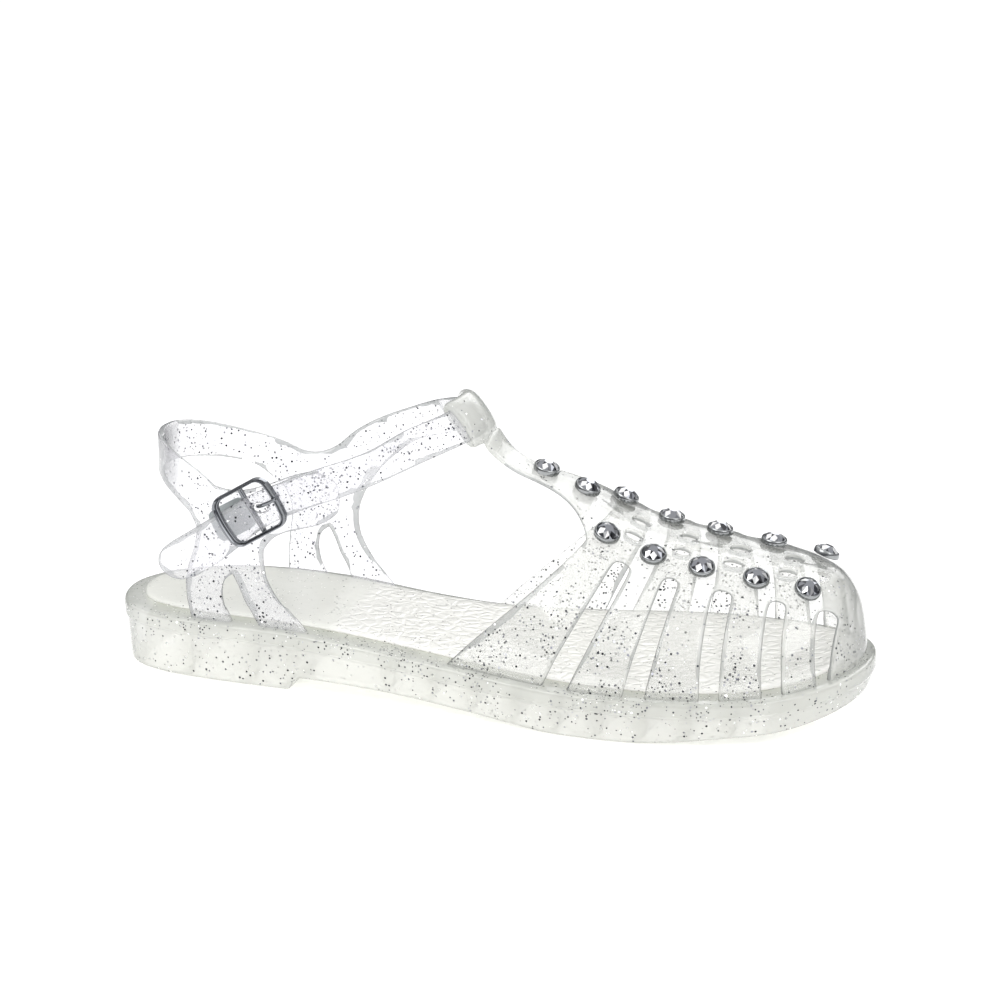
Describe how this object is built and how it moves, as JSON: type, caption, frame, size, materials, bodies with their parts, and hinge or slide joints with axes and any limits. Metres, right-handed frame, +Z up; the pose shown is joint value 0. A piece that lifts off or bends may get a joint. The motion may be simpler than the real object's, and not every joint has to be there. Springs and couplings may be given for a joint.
{
  "type": "jelly sandal",
  "caption": "Clear moulded PVC T-bar sandal for a right foot: slotted vamp with set stones, low-heeled hollow sole and a buckled ankle strap.",
  "frame": {"origin": "the floor under the middle of the sole's length and width", "axes": "+X towards the toe, +Y towards the inner side of the right foot, +Z up from the floor"},
  "size_m": [0.252, 0.0946, 0.0954],
  "materials": {
    "clear_glitter_pvc": "clear moulded PVC with silver glitter, glossy",
    "clear_sole_pvc": "clear moulded PVC with silver glitter, thicker and greyer",
    "polished_zinc_alloy": "polished and plated",
    "cut_glass": "faceted, foil backed"
  },
  "bodies": {
    "root": {"buckle_frame": "polished_zinc_alloy", "buckle_plate": "polished_zinc_alloy", "buckle_prong": "polished_zinc_alloy", "cage": "clear_glitter_pvc", "footbed": "clear_sole_pvc", "outsole": "clear_sole_pvc", "quarters_and_strap": "clear_glitter_pvc", "setting_inner1": "polished_zinc_alloy", "setting_inner2": "polished_zinc_alloy", "setting_inner3": "polished_zinc_alloy", "setting_inner4": "polished_zinc_alloy", "setting_inner5": "polished_zinc_alloy", "setting_outer1": "polished_zinc_alloy", "setting_outer2": "polished_zinc_alloy", "setting_outer3": "polished_zinc_alloy", "setting_outer4": "polished_zinc_alloy", "setting_outer5": "polished_zinc_alloy", "setting_t1": "polished_zinc_alloy", "setting_t2": "polished_zinc_alloy", "stone_inner1": "cut_glass", "stone_inner2": "cut_glass", "stone_inner3": "cut_glass", "stone_inner4": "cut_glass", "stone_inner5": "cut_glass", "stone_outer1": "cut_glass", "stone_outer2": "cut_glass", "stone_outer3": "cut_glass", "stone_outer4": "cut_glass", "stone_outer5": "cut_glass", "stone_t1": "cut_glass", "stone_t2": "cut_glass"}
  },
  "joints": []
}
